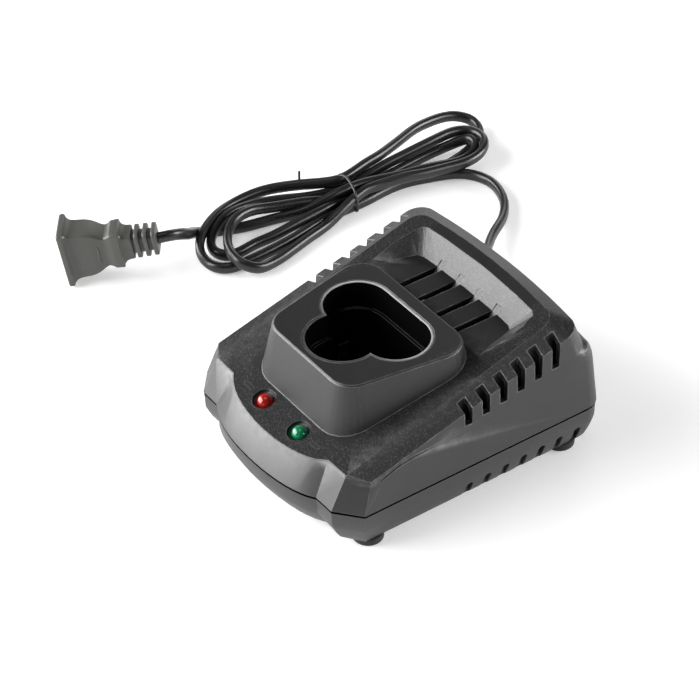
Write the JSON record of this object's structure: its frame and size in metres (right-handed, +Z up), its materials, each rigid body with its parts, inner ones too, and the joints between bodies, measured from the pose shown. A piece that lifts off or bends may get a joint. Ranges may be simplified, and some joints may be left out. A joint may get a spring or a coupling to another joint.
{
  "type": "power tool battery charger",
  "caption": "Benchtop charger for a three-lobed tool battery: sloping vented housing, raised battery well, two indicator lamps, rubber feet and a mains cord tied in a hank.",
  "frame": {"origin": "on the surface that the feet stand on, under the middle of the housing", "axes": "+Z up, +Y along the housing from the lamps at the front to the rear wall, +X to the right seen from the front"},
  "size_m": [0.1907, 0.1929, 0.0553],
  "materials": {
    "upper_plastic": "fine matt moulded texture",
    "lower_plastic": "fine matt moulded texture",
    "well_plastic": "polished",
    "terminal_plastic": "smooth",
    "contact_metal": "bright spring metal",
    "red_lens": "clear tinted lens",
    "green_lens": "clear tinted lens",
    "board": "lacquered board",
    "wire_sleeve": "soft sleeve",
    "ferrite": "ground ferrite",
    "winding_tape": "wound tape",
    "can_sleeve": "shrunk sleeve",
    "yellow_case": "moulded case",
    "copper": "lacquered copper",
    "black_case": "moulded case",
    "sink_metal": "extruded",
    "fuse_glass": "clear",
    "white_case": "moulded case",
    "screw_metal": "zinc plated",
    "foot_rubber": "matt rubber",
    "relief_rubber": "satin rubber",
    "clamp_plastic": "moulded",
    "cord_sleeve": "glossy black sleeve",
    "tie_sleeve": "coated wire",
    "plug_plastic": "soft moulded plastic"
  },
  "bodies": {
    "root": {"top_cover": "upper_plastic", "bottom_cover": "lower_plastic", "battery_well": "well_plastic", "terminal_block": "terminal_plastic", "contact_positive": "contact_metal", "contact_negative": "contact_metal", "contact_thermistor": "contact_metal", "led_red": "red_lens", "led_green": "green_lens", "led_board": "board", "led_wires": "wire_sleeve", "circuit_board": "board", "transformer_core": "ferrite", "transformer_winding": "winding_tape", "input_capacitor": "can_sleeve", "output_capacitors": "can_sleeve", "safety_capacitor": "yellow_case", "emi_choke": "copper", "bridge_rectifier": "black_case", "switching_transistor": "black_case", "heat_sink": "sink_metal", "fuse": "fuse_glass", "optocoupler": "white_case", "housing_screws": "screw_metal", "foot_front_left": "foot_rubber", "foot_front_right": "foot_rubber", "foot_rear_left": "foot_rubber", "foot_rear_right": "foot_rubber", "strain_relief": "relief_rubber", "cord_clamp": "clamp_plastic", "clamp_screws": "screw_metal", "mains_wires": "cord_sleeve", "cord_lead": "cord_sleeve", "cord_hank": "cord_sleeve", "cord_tail": "cord_sleeve", "cord_tie": "tie_sleeve", "plug_body": "plug_plastic"}
  },
  "joints": []
}
